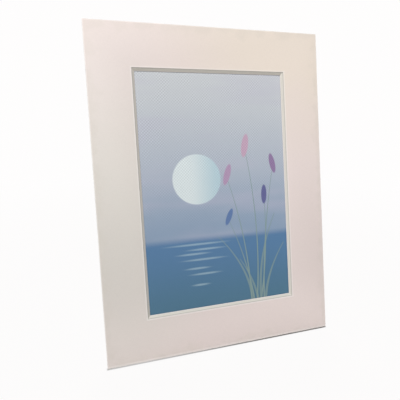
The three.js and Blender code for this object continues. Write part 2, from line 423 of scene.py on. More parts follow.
@dataclass(frozen=True)
class MatBoardFinish(Finish):
    """Mat board: a pearly cream facing, a white core where it is cut, and a white back.

    Light and shade are painted on the facing: a painted pearly lustre, rosier low down and in a patch at
    the top left, painted shade in a darker, less rosy patch on the left and in a band across, painted
    light that grows towards the right, and a painted highlight along the edges. The facing's patches are
    ovals of painted lustre and painted shade: a tint, the middle across and up, and two half axes. A band
    rises between its first two marks and falls between its last two.
    """

    name = "cream_mat_board"
    # The rosy and warm tints are the two ends of a painted pearly lustre.
    rosy: Colour = screen(233, 220, 216)
    warm: Colour = screen(234, 222, 210)
    # Painted shade: a darker, less rosy tint for a patch on the left.
    painted_shade_tint: Colour = screen(222, 217, 210)
    core: Colour = screen(224, 221, 213)
    dusty: Colour = screen(208, 201, 190)
    # Ovals: painted lustre at the top left, painted shade on the left.
    patches: tuple[tuple[Colour, float, float, float, float], ...] = (
        (rosy, -58, 166, 50, 52),
        (painted_shade_tint, -68, 84, 42, 74),
    )
    facing: float = 0.17
    facing_blur: float = 0.03
    # The painted lustre turns from rosy to warm between these heights, which noise shifts.
    cloud_shift: float = 60.0
    warming: tuple[float, float] = (130, 215)
    # Painted light: the facing grows lighter from this x to the right edge, by this gain.
    painted_light_from: float = -20.0
    painted_light_gain: float = 0.065
    # Painted shade: a band up the facing is darkened by this depth.
    painted_shade_band: tuple[float, ...] = (12, 46, 58, 122)
    painted_shade_depth: float = 0.07
    grain_share: float = 0.05
    worn_share: float = 0.2
    # Painted highlight along the edges: how far it reaches, in millimetres, and its share.
    painted_highlight_reach: tuple[float, float] = (0.8, 0.3)
    painted_highlight_share: float = 0.45
    # A darker line along the top of the bevel: its depths and how much it darkens.
    bevel_line_band: tuple[float, ...] = (0.02, 0.12, 0.4, 0.62)
    bevel_line_darkening: float = 0.24

    def beside(self, x: Value, z: Value, half_width: float, half_height: float) -> Value:
        """Measures how far a point lies outside a rectangle about the mat's middle."""
        above = abs(z - HEIGHT / 2) - half_height
        return (abs(x) - half_width).largest(above)

    def tint(self, nodes: Nodes, here: Value) -> Value:
        """Draws the facing's painted light: a painted pearly lustre of slowly changing tint, painted
        shade in a patch and in a band, and painted light that grows towards the right.

        Args:
            nodes: Where it is drawn.
            here: Upright millimetres.

        Returns:
            The colour.
        """
        x, _, z = here.parts()
        cloud = here.noise(0.03, detail=1) * self.cloud_shift
        # Painted pearly lustre: rosy low down, warm towards the top, then ovals of painted lustre and
        # painted shade.
        face = (z + cloud).span(*self.warming).mix(self.rosy, self.warm)
        for tint, across, up, wide, tall in self.patches:
            place = {"Across": across, "Up": up, "Wide": wide, "Tall": tall}
            face = nodes.use(oval(), here, **place, Blur=0.8).mix(face, tint)
        # Painted light that grows towards the right.
        painted_light_slope = x.span(self.painted_light_from, HALF_WIDTH, 1.0, 1.0 + self.painted_light_gain)
        # Painted shade: a band across the facing is darkened.
        return face.scale(painted_light_slope - z.band(*self.painted_shade_band) * self.painted_shade_depth)

    def draw(self, nodes: Nodes) -> Value:
        """Draws the facing, the core's fibres, a darker line along the top of the bevel, handling marks
        near the edges and a painted highlight along the edges, the window and the bottom.

        Args:
            nodes: Where they are drawn.

        Returns:
            The shader.
        """
        here = nodes.upright()
        x, depth, z = here.parts()
        cut = nodes.attribute("rim")
        grain = nodes.use(fibre_grain(), here, Length=2.2, Width=0.22)
        face = (grain["Tone"] * self.grain_share).mix(self.tint(nodes, here), BLACK, "MULTIPLY")
        inside = self.beside(x, z, HALF_WIDTH, HEIGHT / 2)
        outside = self.beside(x, z, WINDOW_HALF_WIDTH + MAT_THICKNESS, WINDOW_HALF_HEIGHT + MAT_THICKNESS)
        worn = nodes.use(rub(), here, Size=9.0, Near=inside.span(-9, -0.3))
        face = (worn * self.worn_share).mix(face, self.dusty)
        # Painted highlight: the facing lightens near the outer edges, the window and the bottom edge.
        far, near = self.painted_highlight_reach
        painted_edge_highlight = inside.span(-far, -near).largest(outside.span(far, near)).largest(z.span(1.7, 0.7))
        face = (painted_edge_highlight * self.painted_highlight_share).mix(face, WHITE, "SOFT_LIGHT")

        fibres = nodes.use(fibre_grain(), here, Length=0.9, Width=0.12)
        core = (fibres["Tone"] * 0.7 + 0.3).mix(self.dusty, self.core)
        front, rear, blur = self.facing, MAT_THICKNESS - self.facing, self.facing_blur
        between = depth.band(front - blur, front + blur, rear - blur, rear + blur)
        colour = (between * cut).mix(face, core)
        bevel = cut * outside.math("LESS_THAN", 1.0)
        # A darker line along the top of the bevel.
        bevel_top_line = depth.band(*self.bevel_line_band) * bevel * self.bevel_line_darkening
        colour = bevel_top_line.mix(colour, BLACK, "MULTIPLY")
        height = grain["Height"] + fibres["Height"] * cut
        rough = cut * 0.25 + (grain["Tone"] * 0.1 + 0.52)
        return nodes.surface(colour, rough, nodes.bump(height, 0.02), gloss=0.35)


@dataclass(frozen=True)
class Reed:
    """A reed in the print: a stem with an oval head at its tip."""

    root: float
    tall: float
    tip: float
    bow: float
    head: Colour
    size: float


@dataclass(frozen=True)
class PrintFinish(Finish):
    """The printed card: pale sky over deep water, a pale disc, reeds, and a linen emboss, whose light and
    shade are painted into the colour too, with painted light growing towards the right.

    Its shapes lie in millimetres from the middle of the print's bottom edge. A leaf has its root,
    height, tip and bow. A ripple has its middle across and up, and half its width.
    """

    name = "embossed_print"
    horizon: float = 47.0
    water: tuple[Colour, ...] = (screen(73, 112, 136), screen(82, 120, 158))
    sky: tuple[Colour, ...] = (screen(134, 154, 178), screen(168, 178, 193), screen(196, 200, 204))
    mist: Colour = screen(184, 182, 200)
    disc: Colour = screen(214, 224, 226)
    disc_shade: Colour = screen(178, 202, 212)
    disc_middle: tuple[float, float] = (-13.0, 84.0)
    disc_radius: float = 15.5
    stem: Colour = screen(126, 148, 146)
    bare: tuple[Colour, ...] = (screen(236, 235, 230), screen(246, 245, 241))
    reed_foot: float = 3.0
    reed_wide: float = 0.95
    head_rise: float = 3.0
    head_half: tuple[float, float] = (1.9, 6.2)
    reeds: tuple[Reed, ...] = (
        Reed(20, 80, -13, 3.0, screen(172, 146, 176), 1.1),
        Reed(24, 98, -4, 3.5, screen(190, 160, 182), 1.2),
        Reed(27, 66, 5, 2.0, screen(94, 96, 142), 1.0),
        Reed(29, 86, 10, -2.0, screen(140, 118, 156), 1.05),
        Reed(22, 53, -15, 2.0, screen(92, 118, 162), 0.9),
    )
    leaf_foot: float = 1.0
    leaf_wide: float = 2.0
    leaf_share: float = 0.7
    leaves: tuple[tuple[float, float, float, float], ...] = (
        (21, 46, -22, 5),
        (27, 58, 12, -4),
        (30, 38, 15, -3),
        (25, 30, -12, 2),
    )
    ripple_half: float = 0.6
    ripple_share: float = 0.45
    ripples: tuple[tuple[float, float, float], ...] = (
        (-15.0, 43.6, 17.0),
        (-9.5, 40.2, 10.5),
        (-18.0, 37.6, 9.0),
        (-11.0, 33.8, 12.0),
        (-15.5, 28.4, 7.0),
        (-10.5, 24.6, 8.5),
        (-14.0, 17.8, 5.0),
    )
    pitch: float = 1.8

    def ground(self, here: Value) -> Value:
        """Draws water and sky as two runs of colour that meet softly at the horizon.

        Args:
            here: Coordinates in the print.

        Returns:
            The colour.
        """
        up = here.parts()[2]
        water = up.span(0, self.horizon).mix(*self.water)
        low = up.span(self.horizon - 4, 96).mix(*self.sky[:2])
        sky = up.span(70, PRINT_HEIGHT).mix(low, self.sky[2])
        mist = here.scale((0.012, 1.0, 0.06)).noise().span(0.45, 0.7) * 0.35
        sky = mist.mix(sky, self.mist)
        return up.span(self.horizon - 3, self.horizon + 2.5).mix(water, sky)

    def motifs(self, nodes: Nodes, here: Value, colour: Value) -> Value:
        """Lays the disc, its ripples, the leaves and the reeds over the ground.

        Args:
            nodes: Where they are drawn.
            here: Coordinates in the print.
            colour: The ground's colour.

        Returns:
            The colour.
        """
        across, up = self.disc_middle
        place = {"Across": across, "Up": up, "Wide": self.disc_radius, "Tall": self.disc_radius}
        disc = nodes.use(oval(), here, **place, Blur=0.03)
        shade = here.parts()[0].span(-20, 3)
        colour = disc.mix(colour, shade.mix(self.disc, self.disc_shade))
        for across, up, wide in self.ripples:
            place = {"Across": across, "Up": up, "Wide": wide, "Tall": self.ripple_half}
            ripple = nodes.use(oval(), here, **place, Blur=0.6) * self.ripple_share
            colour = ripple.mix(colour, self.disc_shade)
        for across, tall, tip, bow in self.leaves:
            place = {"Across": across, "Up": self.leaf_foot, "Tall": tall, "Tip": tip, "Bow": bow}
            leaf = nodes.use(blade(), here, **place, Wide=self.leaf_wide) * self.leaf_share
            colour = leaf.mix(colour, self.stem)
        wide, tall = self.head_half
        for reed in self.reeds:
            place = {"Across": reed.root, "Up": self.reed_foot, "Tall": reed.tall, "Tip": reed.tip}
            stem = nodes.use(blade(), here, **place, Bow=reed.bow, Wide=self.reed_wide)
            colour = stem.mix(colour, self.stem)
            up = self.reed_foot + reed.tall + self.head_rise
            turn = math.atan2(reed.tip - 4 * reed.bow, reed.tall)
            place = {"Across": reed.root + reed.tip, "Up": up, "Turn": turn}
            size = {"Wide": wide * reed.size, "Tall": tall * reed.size, "Blur": 0.12}
            colour = nodes.use(oval(), here, **place, **size).mix(colour, reed.head)
        return colour

    def draw(self, nodes: Nodes) -> Value:
        """Draws the picture, the emboss that lies over it with its painted light and shade, painted light
        that grows towards the right, and the paper's white edges.

        Args:
            nodes: Where they are drawn.

        Returns:
            The shader.
        """
        upright = nodes.upright()
        drop = {0: upright, 1: (0.0, 0.0, -PRINT_BOTTOM)}
        here = nodes.add("VectorMath", drop, operation="ADD")
        x, _, up = here.parts()
        threads = nodes.use(linen(), upright, Pitch=self.pitch, Wander=0.5)
        # Painted light and shade of the emboss: the colour lightens and darkens with the linen dots, more
        # towards the top; painted light grows towards the right.
        clear = here.noise(0.11).span(0.4, 0.62, 0.12, 0.4) * up.span(10, 120, 0.4, 1.0)
        tone = (threads - 0.5) * clear + x.span(-50, 50, 0.985, 1.05)
        colour = self.motifs(nodes, here, self.ground(here)).scale(tone)
        fibres = nodes.use(fibre_grain(), upright, Length=1.2, Width=0.16)
        colour = nodes.attribute("bare").mix(colour, fibres["Tone"].mix(*self.bare))
        height = fibres["Height"] * 0.2 + threads
        rough = threads * 0.12 + 0.42
        return nodes.surface(colour, rough, nodes.bump(height, 0.03), gloss=0.4)


@dataclass(frozen=True)
class PulpBoardFinish(Finish):
    """Unfaced pulp board: cloudy, flecked with darker and paler pulp, and paler where it is cut."""

    name = "grey_pulp_board"
    base: Colour = screen(172, 162, 146)
    cloud: Colour = screen(158, 148, 132)
    edge: Colour = screen(188, 180, 166)
    dark: Colour = screen(96, 86, 74)
    pale: Colour = screen(206, 199, 186)
    fleck_share: float = 0.12
    grain_share: float = 0.28
    dark_share: float = 0.5
    pale_share: float = 0.35
    worn_share: float = 0.35
    cut_share: float = 0.45
    roughness: float = 0.82

    def coordinates(self, nodes: Nodes) -> Value:
        """Reads where the pattern lies, in millimetres."""
        return nodes.upright()

    def wear(self, here: Value, worn: Value) -> Value:
        """Adds lines that are paler than the rest to the worn patches; flat board has none."""
        return worn

    def draw(self, nodes: Nodes) -> Value:
        """Draws clouds, fibres, two sizes of fleck, and the ply lines of the cut edge.

        Args:
            nodes: Where they are drawn.

        Returns:
            The shader.
        """
        here = self.coordinates(nodes)
        cut = nodes.attribute("rim")
        colour = here.noise(0.05, detail=4).span(0.35, 0.68).mix(self.base, self.cloud)
        grain = nodes.use(fibre_grain(), here, Length=2.6, Width=0.3)
        colour = (grain["Tone"] * self.grain_share).mix(colour, self.edge)
        dark = nodes.use(flecks(), here, Size=0.9, Share=self.fleck_share)
        colour = (dark * self.dark_share).mix(colour, self.dark)
        pale = nodes.use(flecks(), here.scale((1.7, 1.0, 0.9)), Size=1.6, Share=self.fleck_share)
        colour = (pale * self.pale_share).mix(colour, self.pale)
        worn = nodes.use(rub(), here, Size=7.0, Near=cut) * self.worn_share
        colour = self.wear(here, worn).mix(colour, self.pale)
        plies = here.scale((0.25, 5.0, 0.25)).noise()
        colour = (cut * self.cut_share).mix(colour, plies.span(0.3, 0.7).mix(self.edge, self.dark))
        height = plies * (cut * 1.5) + grain["Height"]
        rough = grain["Tone"] * 0.1 + self.roughness
        return nodes.surface(colour, rough, nodes.bump(height, 0.05), gloss=0.25)


@dataclass(frozen=True)
class FoldedCardFinish(PulpBoardFinish):
    """Card whose pattern follows the sheet through its folds, with worn score lines."""

    name = "folded_card"
    base: Colour = screen(184, 168, 143)
    cloud: Colour = screen(172, 155, 129)
    edge: Colour = screen(198, 184, 160)
    fold_across: float = -0.21
    fold_up: float = 20.8
    fold_reach: float = 1.3
    fold_core: float = 0.2

    def coordinates(self, nodes: Nodes) -> Value:
        """Reads where each point lay in the flat blank, with the height from its middle as y."""
        u, v, w = nodes.attribute("blank", "Vector").parts()
        return nodes.join(u, w, v)

    def wear(self, here: Value, worn: Value) -> Value:
        """Marks the two score lines, broken up by noise.

        Args:
            here: Coordinates in the blank.
            worn: The worn patches.

        Returns:
            The mask of both.
        """
        u, _, v = here.parts()
        upright = abs(u - self.fold_across).span(self.fold_reach, self.fold_core) * v.span(30, 34)
        level = abs(v - self.fold_up).span(self.fold_reach, self.fold_core) * u.span(0, -3)
        broken = here.noise(0.9, detail=3).span(0.3, 0.62, 0.25, 0.75)
        return worn.largest(upright.largest(level) * broken)


@dataclass(frozen=True)
class StripFinish(Finish):
    """White card strip, seen at its cut edges and in the pocket."""

    name = "white_strip_card"
    fresh: Colour = screen(236, 233, 226)
    dull: Colour = screen(206, 200, 189)
    worn_share: float = 0.4

    def draw(self, nodes: Nodes) -> Value:
        """Draws the fibres that a guillotine leaves standing, and handling marks.

        Args:
            nodes: Where they are drawn.

        Returns:
            The shader.
        """
        here = nodes.upright()
        grain = nodes.use(fibre_grain(), here, Length=0.8, Width=0.1)
        worn = nodes.use(rub(), here, Size=5.0, Near=0.3) * self.worn_share
        colour = worn.mix(grain["Tone"].mix(self.dull, self.fresh), self.dull)
        return nodes.surface(colour, 0.88, nodes.bump(grain["Height"], 0.04), gloss=0.25)


@dataclass(frozen=True)
class GlueFinish(Finish):
    """Dried glue between boards: dull amber, wet-looking in places."""

    name = "dried_glue"
    thin: Colour = screen(190, 180, 158)
    thick: Colour = screen(150, 134, 104)

    def draw(self, nodes: Nodes) -> Value:
        """Draws its uneven thickness."""
        pools = nodes.upright().noise(0.6, detail=3).span(0.35, 0.65)
        return nodes.surface(
            pools.mix(self.thin, self.thick), pools * -0.25 + 0.6, nodes.bump(pools, 0.05), gloss=0.5
        )


@dataclass(frozen=True)
class FloorFinish(Finish):
    """Pale table top, in metres. The camera sees it nearly white, with the frame's shadow on it and a
    painted contact shadow along the mat's foot.
    """

    name = "pale_floor"
    colour: Colour = screen(204, 201, 198)
    vein: Colour = (0.6, 0.6, 0.6, 1.0)
    vein_share: float = 0.05
    glow: float = 0.96
    far: tuple[float, float] = (0.1, 0.6)
    contact: float = -0.0314
    contact_half: float = 0.0742
    contact_width: float = 0.0006
    contact_blur: float = 0.001
    # Painted contact shadow: how much the floor's colour darkens along the mat's foot.
    painted_contact_shadow: float = 0.6
    contact_shown: float = 0.95
    under_middle: float = 0.012
    under_half: tuple[float, float] = (0.05, 0.014)
    under_blur: float = 0.028
    under_share: float = 0.4

    def draw(self, nodes: Nodes) -> Value:
        """Mixes the lit floor with white for camera, mirror and glass rays.

        The share of white rises with distance, to meet the backdrop. It drops along the line
        where the mat stands over the floor, which is weaker on the lit side, and behind the foot,
        by the distance from a rectangle, so that the shadows there show. Along that line the
        floor's colour is darkened as well, a painted contact shadow.

        Args:
            nodes: Where they are drawn.

        Returns:
            The shader.
        """
        here = nodes.add("TexCoord")["Object"]
        x, y, _ = here.parts()
        across = abs(y - self.contact).span(self.contact_width * 2, self.contact_width)
        along = abs(x).span(self.contact_half + self.contact_blur, self.contact_half)
        line = across * along * x.span(-0.06, 0.04, 0.6, 1.0)
        aside = abs(x) - self.under_half[0]
        behind = abs(y - self.under_middle) - self.under_half[1]
        away = nodes.join(aside.largest(0.0), behind.largest(0.0), 0.0).length()
        under = away.span(self.under_blur, 0.0) * self.under_share
        colour = (here.noise(9.0, detail=3) * self.vein_share).mix(self.colour, self.vein)
        # Painted contact shadow: the floor's colour darkens along the mat's foot.
        colour = (line * self.painted_contact_shadow).mix(colour, BLACK, "MULTIPLY")
        share = here.length().span(*self.far) * (1.0 - self.glow) + self.glow
        share = share * (1.0 - line * self.contact_shown) * (1.0 - under) * nodes.seen()
        lit = nodes.add("BsdfDiffuse", {"Color": colour})
        white = nodes.add("Emission", {"Color": PAPER_WHITE, "Strength": 1.0})
        return nodes.add("MixShader", {0: share, 1: lit, 2: white})


# Axes and meshes


@dataclass(frozen=True)
class Lean:
    """Where the frame's upright axes lie in the part's frame."""

    angle: float = math.radians(11.3)

    def foot(self) -> tuple[float, float]:
        """Finds the y and z of the mat's bottom front edge, in millimetres of the part's frame."""
        low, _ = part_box("front_mat")
        return low[1] / MM, low[2] / MM + MAT_THICKNESS * math.sin(self.angle)

    def place(self, points: np.ndarray) -> np.ndarray:
        """Leans points back: depth y cos a + z sin a, height z cos a - y sin a, from the foot.

        Args:
            points: Upright points in millimetres, one to a row.

        Returns:
            The points in the part's frame, in metres.
        """
        depth, height = self.foot()
        cosine, sine = math.cos(self.angle), math.sin(self.angle)
        x, y, z = points.T
        return MM * np.column_stack([x, y * cosine + z * sine + depth, z * cosine - y * sine + height])

    def undo(self) -> dict[str, Sequence[float]]:
        """Turns Object coordinates back into upright millimetres.

        Returns:
            The values of a Mapping node that does so.
        """
        depth, height = self.foot()
        cosine, sine = math.cos(self.angle), math.sin(self.angle)
        away = (0.0, sine * height - cosine * depth, -sine * depth - cosine * height)
        return {"Location": away, "Rotation": (self.angle, 0, 0), "Scale": (1 / MM,) * 3}


LEAN = Lean()


def rounded(corners: np.ndarray, steps: int = 8) -> np.ndarray:
    """Rounds the corners of an outline.

    A corner c becomes the curve (1-t)^2 a + 2 t (1-t) c + t^2 b, from the point a one radius
    before it to the point b one radius after it.

    Args:
        corners: Rows of two coordinates and a radius.
        steps: Straight steps to a rounded corner.

    Returns:
        The outline's points, two coordinates to a row.
    """
    place, radius = corners[:, :2], corners[:, 2:]
    before = np.roll(place, 1, axis=0) - place
    after = np.roll(place, -1, axis=0) - place
    start = place + before / np.linalg.norm(before, axis=1, keepdims=True) * radius
    end = place + after / np.linalg.norm(after, axis=1, keepdims=True) * radius
    t = np.linspace(0, 1, steps + 1)[:, None]
    bend = (1 - t) ** 2 * start[:, None] + 2 * t * (1 - t) * place[:, None] + t**2 * end[:, None]
    kept = (radius > 0) | (np.arange(steps + 1) == 0)
    return bend[kept]


def round_cut(centre: Sequence[float], radius: float, start: float, end: float) -> np.ndarray:
    """Draws part of a circle as corners without a radius.

    Args:
        centre: The circle's centre.
        radius: Its radius.
        start: Angle of the first point, in degrees from the first axis.
        end: Angle of the last point.

    Returns:
        Rows of two coordinates and a zero.
    """
    angle = np.radians(np.linspace(start, end, 17))
    across, up = centre[0] + radius * np.cos(angle), centre[1] + radius * np.sin(angle)
    return np.column_stack([across, up, 0 * angle])


def grid_faces(
    rows: int, columns: int, looped: bool = False, closed: bool = False
) -> list[list[int]]:
    """Joins rows of points into quads.

    Args:
        rows: Number of rows.
        columns: Points in each row.
        looped: Whether each row meets itself.
        closed: Whether the last row joins the first.

    Returns:
        The point numbers of each quad.
    """
    ends = np.arange(rows - (not closed)), np.arange(columns - (not looped))
    row, column = np.meshgrid(*ends, indexing="ij")
    here, there = row * columns, (row + 1) % rows * columns
    onward = (column + 1) % columns
    quads = np.stack([here + column, here + onward, there + onward, there + column], axis=-1)
    return quads.reshape(-1, 4).tolist()


def link(name: str, data: bpy.types.ID) -> bpy.types.Object:
    """Puts a mesh, a light or a camera into the scene.

    Args:
        name: The object's name.
        data: What it shows.

    Returns:
        The object, at the origin.
    """
    made = bpy.data.objects.new(name, data)
    bpy.context.scene.collection.objects.link(made)
    return made


def make_piece(
    name: str,
    points: np.ndarray,
    faces: list[list[int]],
    finish: Finish,
    slot: Slot,
    nodes: Sequence[str] = (),
    smooth_below: float = 20,
    **attributes: np.ndarray,
) -> None:
    """slot: The record's slot that the material stands for; not used.
        nodes: The CAD nodes that it replaces.
        smooth_below: Edges that turn by more degrees than this stay sharp.
        attributes: Values for the points, by name: one number each, or three.
    """
    mesh = bpy.data.meshes.new(name)
    mesh.from_pydata(LEAN.place(points).tolist(), [], faces)
    for label, values in attributes.items():
        kind, key = ("FLOAT", "value") if values.ndim == 1 else ("FLOAT_VECTOR", "vector")
        made = mesh.attributes.new(label, kind, "POINT")
        made.data.foreach_set(key, values.astype(np.float32).ravel())
    shell = bmesh.new()
    shell.from_mesh(mesh)
    bmesh.ops.recalc_face_normals(shell, faces=shell.faces)
    shell.to_mesh(mesh)
    shell.free()
    mesh.shade_smooth()
    mesh.set_sharp_from_angle(angle=math.radians(smooth_below))
    piece = link(name, mesh)
    piece.data.materials.append(finish.material())
    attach(piece, "root")
    if nodes:
        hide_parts(*nodes)
    log.info("%s: %d faces", piece.name, len(piece.data.polygons))


def arris(width: float, *degrees: float) -> tuple[np.ndarray, np.ndarray]:
    """Rounds an arris of width s: at an angle a it lies s (1 - sin a) in, s (1 - cos a) down.

    Args:
        width: Its width.
        degrees: The angles.

    Returns:
        How far in and how far down it lies at each.
    """
    turn = np.radians(degrees)
    return width * (1 - np.sin(turn)), width * (1 - np.cos(turn))


@dataclass(frozen=True)
class CutCard:
    """Flat card cut to an outline, its cut edge between two softened arrises."""

    thickness: float
    soften: float = 0.12

    def rings(self, outline: np.ndarray) -> np.ndarray:
        """Carries the edge's profile along an outline.

        In is along the sum of the two neighbouring edges' normals, over one plus their product.

        Args:
            outline: Points that run anticlockwise, two coordinates to a row.

        Returns:
            Rings of points from the low face to the high one: two coordinates and a height.
        """
        edge = np.roll(outline, -1, axis=0) - outline
        edge /= np.linalg.norm(edge, axis=1, keepdims=True)
        normal = np.column_stack([-edge[:, 1], edge[:, 0]])
        last = np.roll(normal, 1, axis=0)
        inward = (normal + last) / (1 + (normal * last).sum(axis=1, keepdims=True))
        inset, under = arris(self.soften, 0, 30, 60, 90)
        inset = np.concatenate([inset, inset[::-1]])
        height = np.concatenate([under, self.thickness - under[::-1]]) - self.thickness / 2
        flat = outline[None] + inset[:, None, None] * inward[None]
        tall = np.broadcast_to(height[:, None, None], (*flat.shape[:2], 1))
        return np.concatenate([flat, tall], axis=2)

    def shell(self, outline: np.ndarray) -> tuple[np.ndarray, list[list[int]]]:
        """Closes the card's edge with its two faces.

        Args:
            outline: Points that run anticlockwise, two coordinates to a row.

        Returns:
            The points and the faces.
        """
        rings = self.rings(outline)
        count, around = rings.shape[:2]
        faces = grid_faces(count, around, looped=True)
        faces.append(list(range(around)))
        faces.append(list(range((count - 1) * around, count * around)))
        return rings.reshape(-1, 3), faces

    def rim(self, height: np.ndarray) -> np.ndarray:
        """Marks points by their height from the card's middle: 0 on a face, 1 on the cut edge."""
        return np.clip((self.thickness / 2 - np.abs(height)) / self.soften, 0, 1)


# The frame's pieces


@dataclass(frozen=True)
class MatBoard:
    """The mat board: a ring of board whose profile is carried round four mitred corners."""

    arris: float = 0.2
    bevel_arris: float = 0.25

    def profile(self) -> tuple[np.ndarray, np.ndarray]:
        """Draws the profile: outer edge, face, bevel at 45 degrees, back.

        Where the bevel starts, a circle of radius r touches both faces: its middle is r tan 22.5
        outside their corner and r down, and its arc runs through 45 degrees.

        Returns:
            Rows of half width, half height and depth, and for each of them 1 where the board is
            cut and 0 on its facing.
        """
        inset, under = arris(self.arris, 90, 60, 30, 0)
        lap = np.radians([0, 15, 30, 45])
        middle = MAT_THICKNESS + self.bevel_arris * math.tan(math.radians(22.5))
        outset = np.append(middle - self.bevel_arris * np.sin(lap), 0)
        depths = [under, self.bevel_arris * (1 - np.cos(lap)), [MAT_THICKNESS]]
        depths.append(MAT_THICKNESS - under[::-1])
        wide = [HALF_WIDTH - inset, WINDOW_HALF_WIDTH + outset, HALF_WIDTH - inset[::-1]]
        tall = [HEIGHT / 2 - inset, WINDOW_HALF_HEIGHT + outset, HEIGHT / 2 - inset[::-1]]
        rows = np.column_stack([np.concatenate(part) for part in (wide, tall, depths)])
        softly = [0, 0.3, 0.7, 1]
        return rows, np.array([*softly[::-1], *softly, 1, *softly])

    def build(self) -> None:
        """Carries the profile round the four corners and replaces the CAD mat."""
        rows, cut = self.profile()
        wide, tall, depth = rows.T
        x = np.column_stack([-wide, wide, wide, -wide])
        y = np.repeat(depth[:, None], 4, axis=1)
        z = HEIGHT / 2 + np.column_stack([-tall, -tall, tall, tall])
        points = np.stack([x, y, z], axis=-1).reshape(-1, 3)
        faces = grid_faces(len(rows), 4, looped=True, closed=True)
        rim, finish = np.repeat(cut, 4), MatBoardFinish()
        make_piece("mat_board", points, faces, finish, Slot.MAT, ["front_mat"], rim=rim)


@dataclass(frozen=True)
class ArtPrint:
    """The printed card in its pocket, bowed a little towards the window."""

    width: float = 101.6
    front: float = 2.0
    thickness: float = 0.3
    bow: float = 0.12
    across: int = 25
    up: int = 37
    smooth_below: float = 40

    def build(self) -> None:
        """Bows a grid: the front lies b (1 - s^2)(1 - t^2) forward, for s and t from -1 to 1.

        The back follows at one thickness, and a band closes the two.
        """
        t, s = np.meshgrid(np.linspace(-1, 1, self.up), np.linspace(-1, 1, self.across), indexing="ij")
        y = self.front - self.bow * (1 - s**2) * (1 - t**2)
        x, z = s * self.width / 2, PRINT_BOTTOM + (t + 1) * PRINT_HEIGHT / 2
        front = np.stack([x, y, z], axis=-1).reshape(-1, 3)
        points = np.vstack([front, front + (0, self.thickness, 0)])
        quads = np.array(grid_faces(self.up, self.across))
        number = np.arange(len(front)).reshape(self.up, self.across)
        border = np.concatenate([number[0, :-1], number[:-1, -1], number[-1, :0:-1], number[:0:-1, 0]])
        onward = np.roll(border, -1)
        behind = len(front)
        band = np.column_stack([border, onward, onward + behind, border + behind])
        faces = np.vstack([quads, quads + behind, band]).tolist()
        nodes, bare = ["picture_print"], np.repeat([0.0, 1.0], behind)
        make_piece(
            "art_print", points, faces, PrintFinish(), Slot.PRINT, nodes, self.smooth_below, bare=bare
        )


@dataclass(frozen=True)
class Backboard:
    """The grey backboard, with a thumb notch in its top edge."""

    front: float = 2.6
    thickness: float = 1.5
    notch_half: float = 10.0
    notch_centre: float = 180.15
    notch_corner: float = 0.8

    def build(self) -> None:
        """Cuts the board to its outline and replaces the CAD backboard."""
        side, notch, corner = HALF_WIDTH, self.notch_half, self.notch_corner
        right = [[-side, 0, 0], [side, 0, 0], [side, HEIGHT, 0], [notch, HEIGHT, corner]]
        cut = round_cut((0, self.notch_centre), notch, 0, -180)
        left = [[-notch, HEIGHT, corner], [-side, HEIGHT, 0]]
        card = CutCard(self.thickness)
        flat, faces = card.shell(rounded(np.vstack([right, cut, left]), steps=4))
        x, z, depth = flat.T
        points = np.column_stack([x, self.front + self.thickness / 2 + depth, z])
        rim, finish = card.rim(depth), PulpBoardFinish()
        make_piece("grey_backboard", points, faces, finish, Slot.BACK, ["backboard"], rim=rim)


